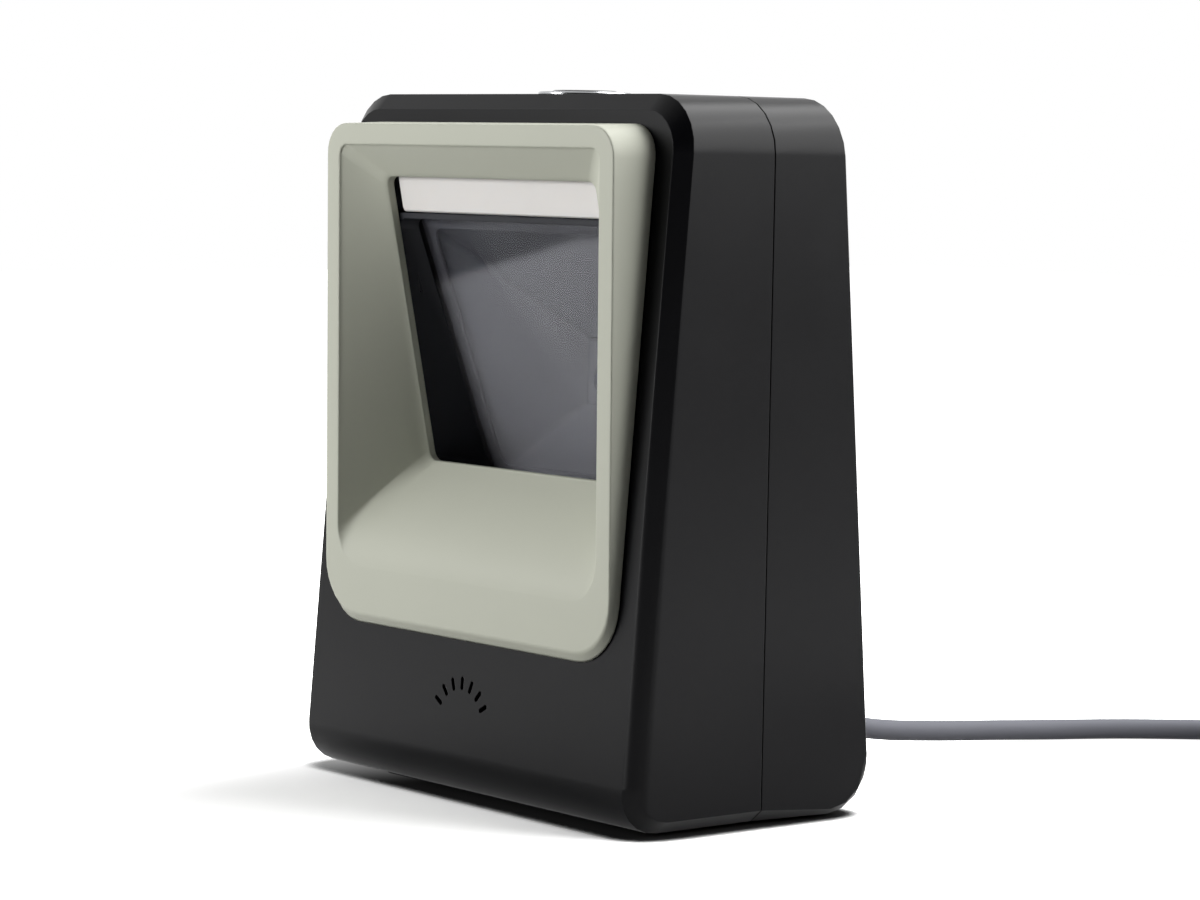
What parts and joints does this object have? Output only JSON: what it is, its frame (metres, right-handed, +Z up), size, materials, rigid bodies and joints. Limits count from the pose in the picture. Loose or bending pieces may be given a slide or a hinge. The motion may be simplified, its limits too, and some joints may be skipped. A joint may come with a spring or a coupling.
{
  "type": "desktop barcode scanner",
  "caption": "Upright hands-free barcode scanner: black two-shell housing, taupe funnel bezel with light bar and tilted scan window, press button on top, corded.",
  "frame": {"origin": "middle of the resting face, on the table under the scanner", "axes": "+Z up, -Y out of the scan window, +X to the right of the scanner as its front is looked at"},
  "size_m": [0.2033, 0.2373, 0.1512],
  "materials": {
    "black_abs": "fine matt moulded ABS",
    "taupe_abs": "smooth satin moulded ABS",
    "black_polycarbonate": "matt black",
    "window_glass": "clear",
    "grey_foam": "closed-cell foam tape",
    "opal_polycarbonate": "satin opal white",
    "circuit_board": "solder-masked glass-fibre board",
    "chip_epoxy": "moulded epoxy",
    "led_resin": "clear resin",
    "lens_glass": "coated",
    "cream_nylon": "moulded nylon",
    "polyimide": "amber film",
    "steel": "plated",
    "polished_metal": "polished",
    "gloss_black": "polished",
    "black_rubber": "matt",
    "grey_pvc": "satin PVC",
    "white_nylon": "moulded nylon"
  },
  "bodies": {
    "scanner": {"front_housing": "black_abs", "rear_housing": "black_abs", "front_bezel": "taupe_abs", "window_shroud": "black_polycarbonate", "light_tunnel": "black_polycarbonate", "light_bar_holder": "black_polycarbonate", "imager_body": "black_polycarbonate", "imager_lens_barrel": "black_polycarbonate", "scan_window": "window_glass", "window_gasket": "grey_foam", "beeper_gasket": "grey_foam", "light_bar_diffuser": "opal_polycarbonate", "light_bar_board": "circuit_board", "imager_board": "circuit_board", "main_board": "circuit_board", "button_board": "circuit_board", "processor_chip": "chip_epoxy", "memory_chip": "chip_epoxy", "beeper": "chip_epoxy", "button_switch": "chip_epoxy", "light_bar_led_1": "led_resin", "light_bar_led_2": "led_resin", "light_bar_led_3": "led_resin", "light_bar_led_4": "led_resin", "aimer_lens": "led_resin", "imager_lens": "lens_glass", "flex_socket": "cream_nylon", "cable_socket": "cream_nylon", "cable_plug": "cream_nylon", "imager_flex": "polyimide", "button_spring": "steel", "usb_plug_shell": "steel", "housing_screw_1": "steel", "housing_screw_2": "steel", "housing_screw_3": "steel", "housing_screw_4": "steel", "bezel_screw_1": "steel", "bezel_screw_2": "steel", "bezel_screw_3": "steel", "bezel_screw_4": "steel", "main_screw_1": "steel", "main_screw_2": "steel", "imager_screw_1": "steel", "imager_screw_2": "steel", "button_collar": "polished_metal", "base_pad": "black_rubber", "strain_relief": "black_rubber", "cable_tie": "black_rubber", "lead_bundle": "black_rubber", "beeper_lead": "black_rubber", "button_lead": "black_rubber", "light_bar_lead": "black_rubber", "usb_cable": "grey_pvc", "usb_coil": "grey_pvc", "usb_plug_grip": "grey_pvc", "usb_plug_tongue": "white_nylon"},
    "button": {"trigger_button": "gloss_black"}
  },
  "joints": [
    {"name": "button_press", "type": "slide", "parent": "scanner", "child": "button", "axis": [0, 0, -1], "range_m": [0, 0.0008], "stiffness_N_per_m": 1200, "springref_m": -0.001, "deforming": ["button_spring"]}
  ]
}
